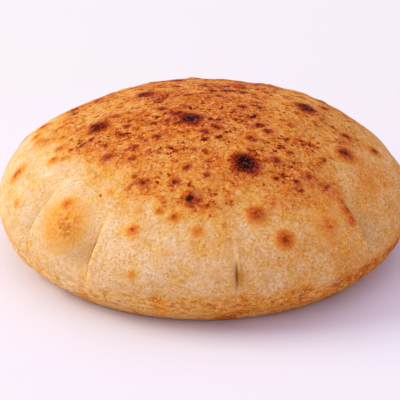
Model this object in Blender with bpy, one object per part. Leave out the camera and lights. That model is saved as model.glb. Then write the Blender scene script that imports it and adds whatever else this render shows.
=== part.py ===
"""A puffed round baladi loaf, modelled as one closed solid.

In the oven the disc of dough blows up into a low dome over a shallower,
bowl-shaped underside. The thin wall gathers in radial pleats that run down
to the seam, a rougher rim hangs below the seam, and the top crust carries
raised blisters. Metres, +Z up. The loaf stands on its flat foot, centred on
the origin, and bearings are degrees round it from its front, which faces -Y.
"""

import math
from collections import namedtuple

import bmesh
import bpy
from mathutils import Vector, noise

# Driving dimensions
LOAF_RADIUS = 0.0806      # at the widest ring
WAIST_HEIGHT = 0.0202     # floor to the widest ring
DOME_RISE = 0.0393        # widest ring to the crown
BOWL_DEPTH = 0.0424       # widest ring down to where the underside would close
DOME_FULLNESS = 1.94      # superellipse exponents, 2 being a plain ellipse
BOWL_FULLNESS = 1.80
FOOT_EASE = 0.0025        # rounding between the underside and the flat foot

# Seam and rim
SEAM_HEIGHT = 0.0140      # over the floor, all round
SEAM_WAVE = 0.0014        # how far the seam wanders up and down
SEAM_DEPTH = 0.0005
SEAM_WIDTH = 0.0019
RIM_ROLL = 0.0008         # how far the rim stands proud under the seam
RIM_MIDDLE = 0.0045       # below the seam
RIM_WIDTH = 0.0036
RIM_CRAG = 0.0005         # rough lumps of the rim
RIM_CRAG_SIZE = 0.0070

# Unevenness of the puffed crust
SWELL = 0.0006
SWELL_SIZE = 0.034
DIMPLE = 0.0004
DIMPLE_SIZE = 0.013
SHOULDER_INNER = 0.040    # distances from the axis between which
SHOULDER_OUTER = 0.072    # a full shoulder sets in

# Stretches of the wall that stand out a little more than the rest
Shoulder = namedtuple("Shoulder", "bearing spread push")
SHOULDERS = (
    Shoulder(98.0, 40.0, 0.0001),
    Shoulder(-105.0, 34.0, 0.0006),
)

# Mesh
COLUMNS = 132             # faces round the loaf
DOME_RINGS = 27
BOWL_RINGS = 10
WALL_DENSITY = 0.62       # under 1 packs the dome's rings towards the wall
FOOT_FADE = (0.0015, 0.0060)   # heights between which the relief dies out

# A pleat is a valley with one steep and one gentle side, and the crust stands
# up in a lip beyond the steep one. It starts at head (distance from the axis),
# is deepest low on the wall and closes on the seam. lean is how far its head
# stands round from its foot, and steep_side is 1 where the steep side is the
# one at the larger bearing.
Pleat = namedtuple("Pleat", "bearing lean head depth steep gentle steep_side lip")
PLEATS = (
    Pleat(-56.5, -4.0, 0.0570, 0.0034, 0.0019, 0.0100, 1, 0.0003),
    Pleat(-31.8, 3.0, 0.0640, 0.0046, 0.0018, 0.0090, 1, 0.0005),
    Pleat(8.5, 1.0, 0.0650, 0.0016, 0.0015, 0.0020, 1, 0.0003),
    Pleat(50.0, -3.0, 0.0600, 0.0040, 0.0017, 0.0090, -1, 0.0005),
    Pleat(96.0, 2.0, 0.0660, 0.0014, 0.0019, 0.0070, -1, 0.0002),
    Pleat(128.0, -3.0, 0.0620, 0.0036, 0.0018, 0.0090, 1, 0.0004),
    Pleat(163.0, 1.0, 0.0650, 0.0026, 0.0017, 0.0040, 1, 0.0003),
    Pleat(-158.0, -2.0, 0.0610, 0.0040, 0.0018, 0.0100, -1, 0.0004),
    Pleat(-121.0, 3.0, 0.0650, 0.0018, 0.0019, 0.0060, -1, 0.0003),
    Pleat(-92.0, -1.0, 0.0680, 0.0008, 0.0022, 0.0070, 1, 0.0001),
)
PLEAT_BOTTOM = 0.0235     # height over the floor where a pleat is deepest
PLEAT_CLOSE = 0.0070      # how fast it closes below that
PLEAT_CROWD = 0.66        # how far the columns crowd in at a pleat
PLEAT_CROWD_SPAN = 7.0    # degrees

# Larger blisters of the top crust
Blister = namedtuple("Blister", "bearing distance radius height")
BLISTERS = (
    Blister(19.8, 0.0456, 0.0062, 0.0011),
    Blister(-20.3, 0.0154, 0.0060, 0.0009),
    Blister(-75.8, 0.0429, 0.0060, 0.0009),
    Blister(-124.9, 0.0284, 0.0060, 0.0009),
    Blister(102.0, 0.0401, 0.0066, 0.0008),
    Blister(-47.2, 0.0493, 0.0052, 0.0007),
    Blister(-4.9, 0.0593, 0.0050, 0.0008),
    Blister(-24.2, 0.0556, 0.0048, 0.0007),
    Blister(49.7, 0.0268, 0.0050, 0.0006),
    Blister(67.6, 0.0571, 0.0056, 0.0009),
    Blister(16.2, 0.0674, 0.0050, 0.0009),
    Blister(22.8, 0.0757, 0.0048, 0.0008),
    Blister(-41.5, 0.0752, 0.0074, 0.0012),
    Blister(-77.7, 0.0739, 0.0052, 0.0007),
    Blister(-100.7, 0.0645, 0.0056, 0.0004),
    Blister(38.0, 0.0754, 0.0050, 0.0006),
    Blister(150.0, 0.0520, 0.0060, 0.0006),
    Blister(-164.0, 0.0380, 0.0056, 0.0008),
    Blister(175.0, 0.0660, 0.0054, 0.0005),
    Blister(-138.0, 0.0610, 0.0058, 0.0009),
)


def smoothstep(low, high, value):
    """0 at low, 1 at high, with a soft start and end."""
    t = min(max((value - low) / (high - low), 0.0), 1.0)
    return t * t * (3.0 - 2.0 * t)


def bell(value, width):
    """1 at nought, falling away on both sides."""
    return math.exp(-(value / width) ** 2)


def bearing_gap(bearing, centre):
    """Degrees from centre to bearing, between -180 and 180."""
    return (bearing - centre + 180.0) % 360.0 - 180.0


def polar(bearing, distance):
    """X and Y of a point by its bearing and its distance from the axis."""
    turn = math.radians(bearing)
    return distance * math.sin(turn), -distance * math.cos(turn)


def dome_height(distance):
    """Height of the undented top crust over the floor."""
    share = min(distance / LOAF_RADIUS, 1.0) ** DOME_FULLNESS
    return WAIST_HEIGHT + DOME_RISE * (1.0 - share) ** (1.0 / DOME_FULLNESS)


def bowl_radius(height):
    """Radius of the underside at a height below the widest ring."""
    share = ((WAIST_HEIGHT - height) / BOWL_DEPTH) ** BOWL_FULLNESS
    return LOAF_RADIUS * (1.0 - share) ** (1.0 / BOWL_FULLNESS)


def half_outline():
    """Points from the crown over the widest ring to the edge of the foot."""
    points = []
    for ring in range(DOME_RINGS + 1):
        turn = 0.5 * math.pi * (ring / DOME_RINGS) ** WALL_DENSITY
        across = math.sin(turn) ** (2.0 / DOME_FULLNESS)
        up = max(math.cos(turn), 0.0) ** (2.0 / DOME_FULLNESS)
        points.append((LOAF_RADIUS * across, WAIST_HEIGHT + DOME_RISE * up))
    for ring in range(1, BOWL_RINGS + 1):
        height = WAIST_HEIGHT * (1.0 - ring / BOWL_RINGS)
        points.append((bowl_radius(height), height))
    return points


def turned_shell():
    """The plain turned body with its foot filled and eased."""
    shell = bmesh.new()
    verts = [shell.verts.new((across, 0.0, up)) for across, up in half_outline()]
    edges = [shell.edges.new(pair) for pair in zip(verts, verts[1:])]
    bmesh.ops.spin(
        shell, geom=verts + edges, cent=(0, 0, 0), axis=(0, 0, 1),
        angle=2.0 * math.pi, steps=COLUMNS, use_merge=True,
    )
    bmesh.ops.remove_doubles(shell, verts=shell.verts, dist=0.00001)
    foot_edges = [edge for edge in shell.edges if edge.is_boundary]
    bmesh.ops.contextual_create(shell, geom=foot_edges)
    bmesh.ops.bevel(
        shell, geom=foot_edges, offset=FOOT_EASE, segments=2, profile=0.5,
        affect="EDGES", material=-1,
    )
    bmesh.ops.recalc_face_normals(shell, faces=shell.faces)
    return shell


def crowd_columns(shell):
    """Turn the columns of points a little so that they crowd in at each pleat."""
    for vert in shell.verts:
        bearing = math.degrees(math.atan2(vert.co.x, -vert.co.y))
        shift = 0.0
        for pleat in PLEATS:
            gap = bearing_gap(bearing, pleat.bearing)
            shift -= PLEAT_CROWD * gap * bell(gap, PLEAT_CROWD_SPAN)
        distance = math.hypot(vert.co.x, vert.co.y)
        vert.co.x, vert.co.y = polar(bearing + shift, distance)


def swell(point):
    """Slow unevenness of the whole crust."""
    slow = SWELL * noise.noise(point / SWELL_SIZE)
    return slow + DIMPLE * noise.noise(point / DIMPLE_SIZE)


def shoulder_push(shoulder, point, bearing):
    """How far one full shoulder pushes the wall out at a point."""
    near = bell(bearing_gap(bearing, shoulder.bearing), shoulder.spread)
    distance = math.hypot(point.x, point.y)
    return shoulder.push * near * smoothstep(SHOULDER_INNER, SHOULDER_OUTER, distance)


def pleat_fold(pleat, point, bearing):
    """How far one pleat sinks the wall at a point, or lifts its lip."""
    over = point.z >= PLEAT_BOTTOM
    if over:
        run = (point.z - PLEAT_BOTTOM) / (dome_height(pleat.head) - PLEAT_BOTTOM)
        along = 1.0 - smoothstep(0.10, 1.0, run)
    else:
        run = 0.0
        along = bell(point.z - PLEAT_BOTTOM, PLEAT_CLOSE)
    distance = math.hypot(point.x, point.y)
    gap = bearing_gap(bearing, pleat.bearing + pleat.lean * run)
    across = math.radians(gap) * distance * pleat.steep_side
    if across > 0.0:
        valley = bell(across, pleat.steep)
    else:
        valley = math.exp(-(-across / pleat.gentle) ** 1.3)
    lip = bell(across - 2.2 * pleat.steep, 1.2 * pleat.steep)
    return along * (pleat.lip * lip - pleat.depth * valley)


def seam_line(bearing):
    """Height of the seam at a bearing."""
    turn = math.radians(bearing)
    wander = math.sin(3.0 * turn + 0.6) + 0.7 * math.sin(5.0 * turn + 2.1)
    return SEAM_HEIGHT + SEAM_WAVE * 0.5 * wander


def rim(point, bearing):
    """Groove of the seam and the rough roll below it."""
    below = seam_line(bearing) - point.z
    groove = -SEAM_DEPTH * bell(below, SEAM_WIDTH)
    roll = bell(below - RIM_MIDDLE, RIM_WIDTH)
    crag = RIM_CRAG * noise.noise(point / RIM_CRAG_SIZE)
    return groove + roll * (RIM_ROLL + crag)


def blister_rise(blister, point):
    """How far one blister lifts the crust at a point."""
    x, y = polar(blister.bearing, blister.distance)
    centre = Vector((x, y, dome_height(blister.distance)))
    return blister.height * bell((point - centre).length, blister.radius)


def relief(point):
    """Everything that lifts or sinks the crust at a point of the plain body."""
    bearing = math.degrees(math.atan2(point.x, -point.y))
    height = swell(point) + rim(point, bearing)
    height += sum(shoulder_push(shoulder, point, bearing) for shoulder in SHOULDERS)
    height += sum(pleat_fold(pleat, point, bearing) for pleat in PLEATS)
    height += sum(blister_rise(blister, point) for blister in BLISTERS)
    return height * smoothstep(FOOT_FADE[0], FOOT_FADE[1], point.z)


def raise_relief(shell):
    """Move each point of the plain body out along its normal by the relief."""
    shell.normal_update()
    moves = [(vert, vert.normal * relief(vert.co)) for vert in shell.verts]
    for vert, move in moves:
        vert.co += move


def centre_on_origin(shell):
    """Put the middle of the body's box over the origin."""
    xs = [vert.co.x for vert in shell.verts]
    ys = [vert.co.y for vert in shell.verts]
    offset = Vector((-0.5 * (min(xs) + max(xs)), -0.5 * (min(ys) + max(ys)), 0.0))
    bmesh.ops.translate(shell, verts=shell.verts, vec=offset)


def crust_material():
    """Baked crust: cream dough toasted gold."""
    material = bpy.data.materials.new("baked_crust")
    material.use_nodes = True
    shader = material.node_tree.nodes["Principled BSDF"]
    shader.inputs["Base Color"].default_value = (0.610, 0.325, 0.115, 1.0)
    shader.inputs["Roughness"].default_value = 0.70
    shader.inputs["Metallic"].default_value = 0.0
    return material


def baladi_bread():
    """The whole loaf as one named object."""
    shell = turned_shell()
    crowd_columns(shell)
    raise_relief(shell)
    centre_on_origin(shell)
    mesh = bpy.data.meshes.new("baladi_bread")
    shell.to_mesh(mesh)
    shell.free()
    mesh.shade_smooth()
    mesh.set_sharp_from_angle(angle=math.radians(40.0))
    mesh.materials.append(crust_material())
    loaf = bpy.data.objects.new("baladi_bread", mesh)
    bpy.context.scene.collection.objects.link(loaf)
    return loaf


for thing in list(bpy.data.objects):
    bpy.data.objects.remove(thing, do_unlink=True)
baladi_bread()
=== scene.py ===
"""A baladi loaf, puffed and freshly baked, on a plain pale floor."""

import math
from collections import namedtuple
from types import SimpleNamespace

import bmesh
import bpy
import numpy as np
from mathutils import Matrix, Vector, noise


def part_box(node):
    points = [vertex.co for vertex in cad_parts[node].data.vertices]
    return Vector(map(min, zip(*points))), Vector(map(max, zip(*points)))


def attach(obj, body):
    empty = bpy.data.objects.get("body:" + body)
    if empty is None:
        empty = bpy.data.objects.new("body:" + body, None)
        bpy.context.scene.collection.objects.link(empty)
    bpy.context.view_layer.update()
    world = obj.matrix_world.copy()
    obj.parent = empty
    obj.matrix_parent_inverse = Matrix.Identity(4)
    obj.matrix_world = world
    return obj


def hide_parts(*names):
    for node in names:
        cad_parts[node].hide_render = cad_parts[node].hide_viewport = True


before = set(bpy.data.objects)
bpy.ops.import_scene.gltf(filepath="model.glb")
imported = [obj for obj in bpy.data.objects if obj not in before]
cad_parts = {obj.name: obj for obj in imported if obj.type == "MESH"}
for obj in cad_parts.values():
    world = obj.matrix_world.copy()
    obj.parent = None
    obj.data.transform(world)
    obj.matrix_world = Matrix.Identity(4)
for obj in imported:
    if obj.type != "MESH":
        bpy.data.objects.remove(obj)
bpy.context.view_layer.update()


# The body of the loaf: one disc of bran dough that the oven blew up into a low
# dome over a shallower underside. A finely cut cube is drawn out over the
# turned outline, so that neither the crown nor the foot has a pole.
loaf_low, loaf_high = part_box("baladi_bread")
loaf_radius = 0.25 * (loaf_high.x - loaf_low.x + loaf_high.y - loaf_low.y)
loaf_height = loaf_high.z
WAIST_SHARE = 0.339       # of the loaf's height
BOWL_SHARE = 0.713        # how deep the underside's curve would reach
DOME_FULLNESS = 1.94      # superellipse exponents
BOWL_FULLNESS = 1.80
FOOT_EASE = 0.0030        # rounding between the underside and the flat foot
DOME_STEPS = 400
BOWL_STEPS = 200
EASE_STEPS = 8
CUBE_CUTS = 127
DOME_TURN = 98.0          # degrees down from the crown that the dome takes
BOWL_TURN = 138.0         # where the underside ends and the foot starts

waist_height = WAIST_SHARE * loaf_height
dome_rise = loaf_height - waist_height
bowl_depth = BOWL_SHARE * loaf_height


def corner_ease(before, corner, after):
    """Points of a soft curve that cuts off one corner."""
    points = []
    for step in range(1, EASE_STEPS):
        t = step / EASE_STEPS
        weights = ((1.0 - t) ** 2, 2.0 * t * (1.0 - t), t * t)
        points.append(np.dot(weights, (before, corner, after)))
    return points


def body_outline():
    """Radius and height from the crown down to the middle of the foot, and
    the lengths along it at which the dome and the underside end."""
    turn = np.linspace(0.0, 0.5 * math.pi, DOME_STEPS)
    across, up = np.sin(turn), np.maximum(np.cos(turn), 0.0)
    dome_radius = loaf_radius * across ** (2.0 / DOME_FULLNESS)
    dome_level = waist_height + dome_rise * up ** (2.0 / DOME_FULLNESS)
    dome = np.stack((dome_radius, dome_level), 1)
    level = np.linspace(waist_height, 0.0, BOWL_STEPS)[1:]
    share = ((waist_height - level) / bowl_depth) ** BOWL_FULLNESS
    bowl = np.stack((loaf_radius * (1.0 - share) ** (1.0 / BOWL_FULLNESS), level), 1)
    corner = bowl[-1]
    bowl = bowl[np.hypot(*(bowl - corner).T) > FOOT_EASE]
    inner = corner - np.array((FOOT_EASE, 0.0))
    eased = corner_ease(bowl[-1], corner, inner)
    points = np.vstack((dome, bowl, eased, [inner], [(0.0, 0.0)]))
    steps = np.hypot(*np.diff(points, axis=0).T)
    length = np.concatenate(((0.0,), np.cumsum(steps)))
    dome_end = length[len(dome) - 1]
    bowl_end = length[len(dome) + len(bowl) + len(eased)]
    return points, length, dome_end, bowl_end


def cube_cloud():
    """A finely cut cube as a mesh, and the directions of its points."""
    cube = bmesh.new()
    bmesh.ops.create_cube(cube, size=2.0)
    bmesh.ops.subdivide_edges(cube, edges=cube.edges, cuts=CUBE_CUTS, use_grid_fill=True)
    bmesh.ops.recalc_face_normals(cube, faces=cube.faces)
    mesh = bpy.data.meshes.new("loaf_crust")
    cube.to_mesh(mesh)
    cube.free()
    spots = np.empty(len(mesh.vertices) * 3)
    mesh.vertices.foreach_get("co", spots)
    spots = np.tan(spots.reshape(-1, 3) * 0.25 * math.pi)
    return mesh, spots / np.linalg.norm(spots, axis=1, keepdims=True)


# The pleats: as the blown-up disc cools, its wall is too long for the rim and
# gathers in folds that close on the seam. Each is a valley with one steep and
# one gentle side, and points of the mesh crowd in at it.
Pleat = namedtuple("Pleat", "bearing lean head depth steep gentle steep_side lip")
# A bearing is in degrees round the loaf from its front, positive to the right.
# A pleat leans by some degrees on its way up to its head, a distance from the
# axis. steep and gentle are the widths of its two sides, and the steep one is
# the right one where steep_side is 1. Beside it the crust stands up in a lip.
PLEATS = (
    Pleat(-56.0, 2.0, 0.0535, 0.0045, 0.0016, 0.0086, 1, 0.0004),
    Pleat(-32.7, 3.0, 0.0640, 0.0046, 0.0014, 0.0110, 1, 0.0005),
    Pleat(8.6, 0.0, 0.0762, 0.0008, 0.0005, 0.0006, 1, 0.0001),
    Pleat(8.0, 0.0, 0.0655, 0.0004, 0.0006, 0.0007, 1, 0.0004),
    Pleat(50.0, -3.0, 0.0600, 0.0040, 0.0012, 0.0090, -1, 0.0005),
    Pleat(96.0, 2.0, 0.0660, 0.0014, 0.0018, 0.0070, -1, 0.0002),
    Pleat(128.0, -3.0, 0.0620, 0.0036, 0.0016, 0.0090, 1, 0.0004),
    Pleat(163.0, 1.0, 0.0650, 0.0026, 0.0012, 0.0040, 1, 0.0003),
    Pleat(-158.0, -2.0, 0.0610, 0.0040, 0.0016, 0.0100, -1, 0.0004),
    Pleat(-121.0, 3.0, 0.0650, 0.0018, 0.0018, 0.0060, -1, 0.0003),
    Pleat(-92.0, -1.0, 0.0680, 0.0008, 0.0020, 0.0070, 1, 0.0001),
)
PLEAT_BOTTOM = 0.0235     # height over the floor where a pleat is deepest
PLEAT_CLOSE = 0.0058      # how fast it closes below that
PLEAT_RUN_OUT = 0.10      # share of the way to its head from which it gets shallower
PLEAT_CROWD = 0.66        # how much closer the points lie in a pleat
PLEAT_CROWD_SPAN = 7.0    # degrees
CROWD_BAND = (0.030, 0.062)  # distances from the axis where they start to and fully crowd
GENTLE_POWER = 1.3        # how pointed the gentle side is
LIP_PLACE = 2.2           # both in widths of the steep side
LIP_WIDTH = 1.2
PLEAT_FAINT = 0.0007      # a shallower pleat than this is only a crease, without the painted shade line
PLEAT_PINCHED = 0.0008    # one whose gentle side is narrower than this is pinched
SLIT_WIDTH = 0.0005       # the painted shade line at the bottom of a pleat
SLIT_SHIFT = 0.0002
GLOW_WIDTH = 0.0022       # the golden crust beside a pinched one
GLOW_SHIFT = 0.0006
CREASE_WIDTH = 0.0008     # and a painted highlight along its upper end
CREASE_SHIFT = 0.0001
HOLLOW_DEPTH = 0.0046     # a pleat this deep has the darkest painted shade on its gentle side
HOLLOW_EDGE = 0.0005


def smoothstep(start, end, value):
    """0 at start, 1 at end, with a soft start and end."""
    t = np.clip((value - start) / (end - start), 0.0, 1.0)
    return t * t * (3.0 - 2.0 * t)


def bell(value, width):
    """1 at nought, falling away on both sides."""
    return np.exp(-((value / width) ** 2))


def bearing_gap(bearing, centre):
    """Degrees from centre to bearing, between -180 and 180."""
    return (bearing - centre + 180.0) % 360.0 - 180.0


def dome_height(distance):
    """Height of the plain top crust over the floor."""
    share = np.minimum(distance / loaf_radius, 1.0) ** DOME_FULLNESS
    return waist_height + dome_rise * (1.0 - share) ** (1.0 / DOME_FULLNESS)


def crowd(bearing, distance):
    """Bearings turned a little so that points crowd in at each deep pleat."""
    shift = np.zeros_like(bearing)
    for pleat in PLEATS:
        if pleat.depth < PLEAT_FAINT:
            continue
        gap = bearing_gap(bearing, pleat.bearing)
        shift -= PLEAT_CROWD * gap * bell(gap, PLEAT_CROWD_SPAN)
    return bearing + shift * smoothstep(*CROWD_BAND, distance)


def pleat_reach(pleat, bearing, distance, height):
    """How much of one pleat's depth each point's height gets, and how far it
    lies across the pleat, counted towards the steep side."""
    head_height = dome_height(pleat.head)
    run = np.clip((height - PLEAT_BOTTOM) / (head_height - PLEAT_BOTTOM), 0.0, 1.0)
    along = 1.0 - smoothstep(PLEAT_RUN_OUT, 1.0, run)
    along = np.where(height < PLEAT_BOTTOM, bell(height - PLEAT_BOTTOM, PLEAT_CLOSE), along)
    gap = bearing_gap(bearing, pleat.bearing + pleat.lean * run)
    return along, np.radians(gap) * distance * pleat.steep_side


body_mesh, directions = cube_cloud()
outline, outline_length, dome_end, bowl_end = body_outline()
polar = np.degrees(np.arccos(np.clip(directions[:, 2], -1.0, 1.0)))
along_crust = np.interp(
    polar, (0.0, DOME_TURN, BOWL_TURN, 180.0), (0.0, dome_end, bowl_end, outline_length[-1])
)
distance = np.interp(along_crust, outline_length, outline[:, 0])
height = np.interp(along_crust, outline_length, outline[:, 1])
bearing = np.degrees(np.arctan2(directions[:, 0], -directions[:, 1]))
bearing = crowd(bearing, distance)
turn = np.radians(bearing)
plain = np.stack((distance * np.sin(turn), -distance * np.cos(turn), height), 1)
body_mesh.vertices.foreach_set("co", plain.ravel())
body_mesh.update()
outward = np.empty(len(plain) * 3)
body_mesh.vertex_normals.foreach_get("vector", outward)
outward = outward.reshape(-1, 3)

slit = np.zeros(len(plain))
hollow = np.zeros(len(plain))
crease = np.zeros(len(plain))
glow = np.zeros(len(plain))
pleat_relief = np.zeros(len(plain))
for pleat in PLEATS:
    along, across = pleat_reach(pleat, bearing, distance, height)
    gentle = np.exp(-((np.abs(across) / pleat.gentle) ** GENTLE_POWER))
    valley = along * np.where(across > 0.0, bell(across, pleat.steep), gentle)
    lip = along * bell(across - LIP_PLACE * pleat.steep, LIP_WIDTH * pleat.steep)
    pleat_relief += pleat.lip * lip - pleat.depth * valley
    # painted shade on a pleat's gentle side, darker for a deeper pleat
    shade_strength = min(pleat.depth / HOLLOW_DEPTH, 1.0) ** 2
    hollow = np.maximum(hollow, shade_strength * valley * smoothstep(HOLLOW_EDGE, -HOLLOW_EDGE, across))
    share = float(pleat.depth > PLEAT_FAINT)
    # a painted shade line along the bottom of each deeper pleat
    slit = np.maximum(slit, along ** 2 * bell(across + SLIT_SHIFT, SLIT_WIDTH) * share)
    if pleat.gentle < PLEAT_PINCHED:
        glow = np.maximum(glow, along ** 2 * bell(across - GLOW_SHIFT, GLOW_WIDTH) * share)
        # a painted highlight along the upper crease of a pinched pleat
        crease = np.maximum(crease, along * (1.0 - slit) * bell(across + CREASE_SHIFT, CREASE_WIDTH))


# The seam and the rim: below the pleats the top crust is welded to the under
# crust in a line of small nicks, and the rim under it baked rough and golden
# where it lay nearest the oven's floor.
SEAM_HEIGHT = 0.0140
SEAM_WAVE = 0.0014
SEAM_WAVES = ((3.0, 0.6, 1.0), (5.0, 2.1, 0.7))  # how many round the loaf, their start and share
SEAM_DEPTH = 0.0004
SEAM_WIDTH = 0.0016
SEAM_PLAIN = 0.6          # share of its depth where there is no nick
SEAM_NICKED = 0.8         # and how much a nick adds
RIM_ROLL = 0.0008         # how far the rim stands proud
RIM_MIDDLE = 0.0045       # below the seam
RIM_WIDTH = 0.0036
RIM_BAND = (-0.0030, 0.0020)  # below the seam, where its rough skin starts and is full
RIM_FRAY = 0.0022         # how far that edge wanders
RIM_CRAG = 0.0003
RIM_CRAG_SIZE = 0.0070
RIM_LUMP = 0.00022
RIM_LUMP_SIZE = 0.0024
RIM_NICK = 0.0004
RIM_NICK_SIZE = (0.0042, 0.0042, 0.0013)


def grain(points, size, place=0.0):
    """Smooth noise between -1 and 1 whose lumps are about size across. Each
    place gives lumps of its own."""
    shift = Vector((place, place, place))
    return np.array([noise.noise(Vector(point) / size + shift) for point in points])


wander = sum(share * np.sin(count * turn + start) for count, start, share in SEAM_WAVES)
below_seam = SEAM_HEIGHT + SEAM_WAVE * 0.5 * wander - height
seam = bell(below_seam, SEAM_WIDTH)
roll = bell(below_seam - RIM_MIDDLE, RIM_WIDTH)
crag = grain(plain, RIM_CRAG_SIZE)
lumps = grain(plain, RIM_LUMP_SIZE, place=8.8)
nicks = np.maximum(grain(plain / RIM_NICK_SIZE, 1.0, place=7.3), 0.0)
rim_band = smoothstep(*RIM_BAND, below_seam + RIM_FRAY * crag)
rim_relief = -SEAM_DEPTH * seam * (SEAM_PLAIN + SEAM_NICKED * nicks)
rim_relief += roll * (RIM_ROLL + RIM_CRAG * crag) + rim_band * (RIM_LUMP * lumps - RIM_NICK * nicks)


# The slow unevenness of the crust: it swells and sinks a little everywhere,
# and some stretches of the wall stand out or lie back more.
SWELL = 0.0006
SWELL_SIZE = 0.034
DIMPLE = 0.0004
DIMPLE_SIZE = 0.013
SHOULDER_BAND = (0.040, 0.072)  # distances from the axis where a shoulder starts and is full
Shoulder = namedtuple("Shoulder", "bearing spread push")
SHOULDERS = (
    Shoulder(98.0, 40.0, 0.0001),
    Shoulder(-105.0, 34.0, 0.0006),
    Shoulder(-134.0, 16.0, -0.0012),
)


def facing(centre, spread):
    """1 on the side of the loaf at one bearing, falling away round it."""
    return bell(bearing_gap(bearing, centre), spread)


def beyond(start, full):
    """0 nearer the axis than start, and 1 further out than full."""
    return smoothstep(start, full, distance)


slow_relief = SWELL * grain(plain, SWELL_SIZE) + DIMPLE * grain(plain, DIMPLE_SIZE)
for shoulder in SHOULDERS:
    near = facing(shoulder.bearing, shoulder.spread)
    slow_relief += shoulder.push * near * beyond(*SHOULDER_BAND)


# The toasted cap: the part of the top crust that faced the flame, from the
# crown down to where the wall turned away. Its edge is as far from the axis as
# this list says at each bearing, and noise frays it.
CAP_EDGE = (
    (-180.0, 0.060), (-140.0, 0.063), (-110.0, 0.067), (-87.0, 0.066), (-68.0, 0.061),
    (-56.0, 0.060), (-37.0, 0.059), (-27.0, 0.063), (-13.0, 0.070), (-1.0, 0.0725),
    (8.0, 0.070), (18.0, 0.066), (30.0, 0.069), (45.0, 0.068), (60.0, 0.062), (76.0, 0.066),
    (93.0, 0.071), (120.0, 0.067), (150.0, 0.063),
)
CAP_SOFTNESS = 0.0050     # outside the edge
CAP_FADE = 0.0120         # inside it
TOAST_SOFTNESS = 0.0080   # and of the toasted skin, which is wider and softer
TOAST_FADE = 0.0160
CAP_FRAY = 0.0050
CAP_FRAY_SIZE = 0.011
WAIST_EASE = 0.006        # over the waist, where toasting can start

edge_bearings, edge_distances = zip(*CAP_EDGE)
cap_edge = np.interp(bearing, edge_bearings, edge_distances, period=360.0)
cap_edge = cap_edge + CAP_FRAY * grain(plain, CAP_FRAY_SIZE, place=3.1)
above_waist = smoothstep(waist_height, waist_height + WAIST_EASE, height)
cap = above_waist * smoothstep(cap_edge + CAP_SOFTNESS, cap_edge - CAP_FADE, distance)
toasted = above_waist * smoothstep(cap_edge + TOAST_SOFTNESS, cap_edge - TOAST_FADE, distance)


# The blisters: bubbles of steam under the top skin that stood nearest the
# flame. Each is raised, has a scorched core and lies in a ring of browner
# crust.
Blister = namedtuple("Blister", "bearing distance core rise heat ring ring_heat")
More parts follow.
